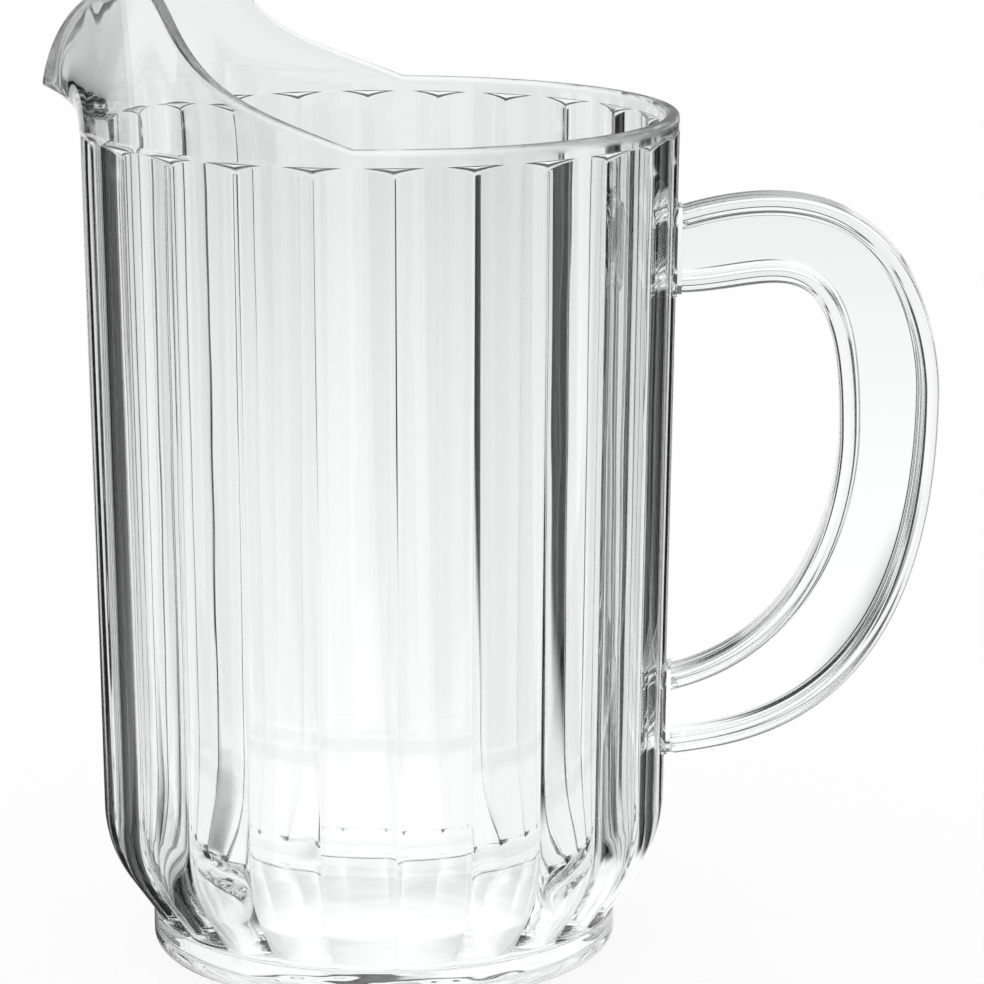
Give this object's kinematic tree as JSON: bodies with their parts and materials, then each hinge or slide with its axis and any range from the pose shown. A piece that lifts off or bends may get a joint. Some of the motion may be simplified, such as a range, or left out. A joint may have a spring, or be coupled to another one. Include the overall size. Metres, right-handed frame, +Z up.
{
  "type": "plastic jug",
  "caption": "Clear plastic serving jug with 24 upright reeds, a raised pouring lip and beak, and a D-shaped I-section handle welded to the wall.",
  "frame": {"origin": "Centre of the overall box at the bottom: on the plane of the foot, midway between the beak's tip and the grip.", "axes": "+Z up, the beak points along -X, the handle stands out along +X, and the jug is alike on both sides of the XZ plane."},
  "size_m": [0.1922, 0.128, 0.2143],
  "materials": {
    "clear_plastic": "clear colourless moulded plastic, polished, with thick edges that go dark where they bend the light"
  },
  "bodies": {
    "root": {"jug_body": "clear_plastic", "handle": "clear_plastic"}
  },
  "joints": []
}
